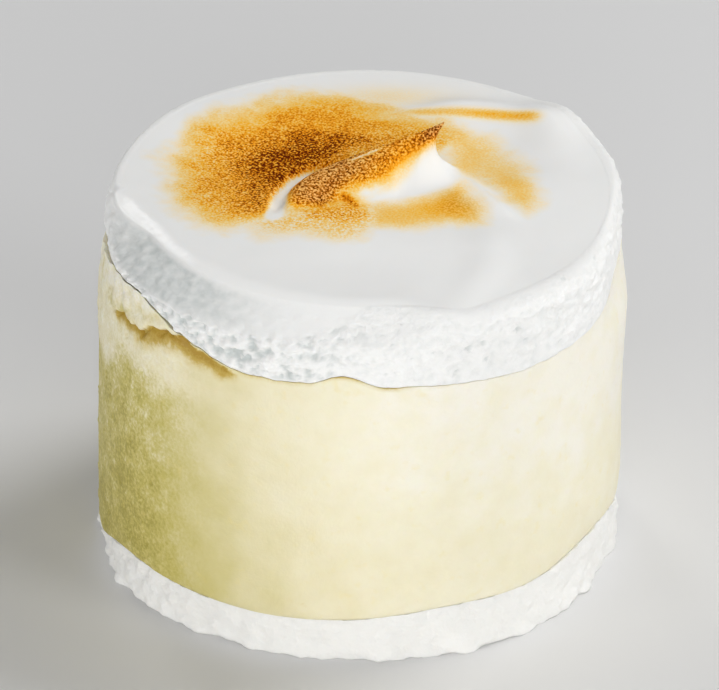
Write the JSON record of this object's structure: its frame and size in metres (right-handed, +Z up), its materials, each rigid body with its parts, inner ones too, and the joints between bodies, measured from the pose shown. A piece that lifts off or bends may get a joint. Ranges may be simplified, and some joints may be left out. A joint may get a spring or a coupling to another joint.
{
  "type": "lemon mousse dessert",
  "caption": "Round single-portion lemon mousse on a thin white sponge, capped with soft meringue that is spread flat and pulled up into a torched curl.",
  "frame": {"origin": "middle of the sponge's flat foot, on the surface that the dessert stands on", "axes": "+Z up through the layers, -Y towards the front shown in the picture, +X to the right, where the curl's tip points"},
  "size_m": [0.0706, 0.0702, 0.0592],
  "materials": {
    "sponge": "open white crumb, matte",
    "mousse": "set lemon mousse with fine pores, satin",
    "meringue": "soft meringue, satin on top and foamy at the side, torched golden brown around the curl"
  },
  "bodies": {
    "root": {"sponge_base": "sponge", "lemon_mousse": "mousse", "meringue_cap": "meringue"}
  },
  "joints": []
}
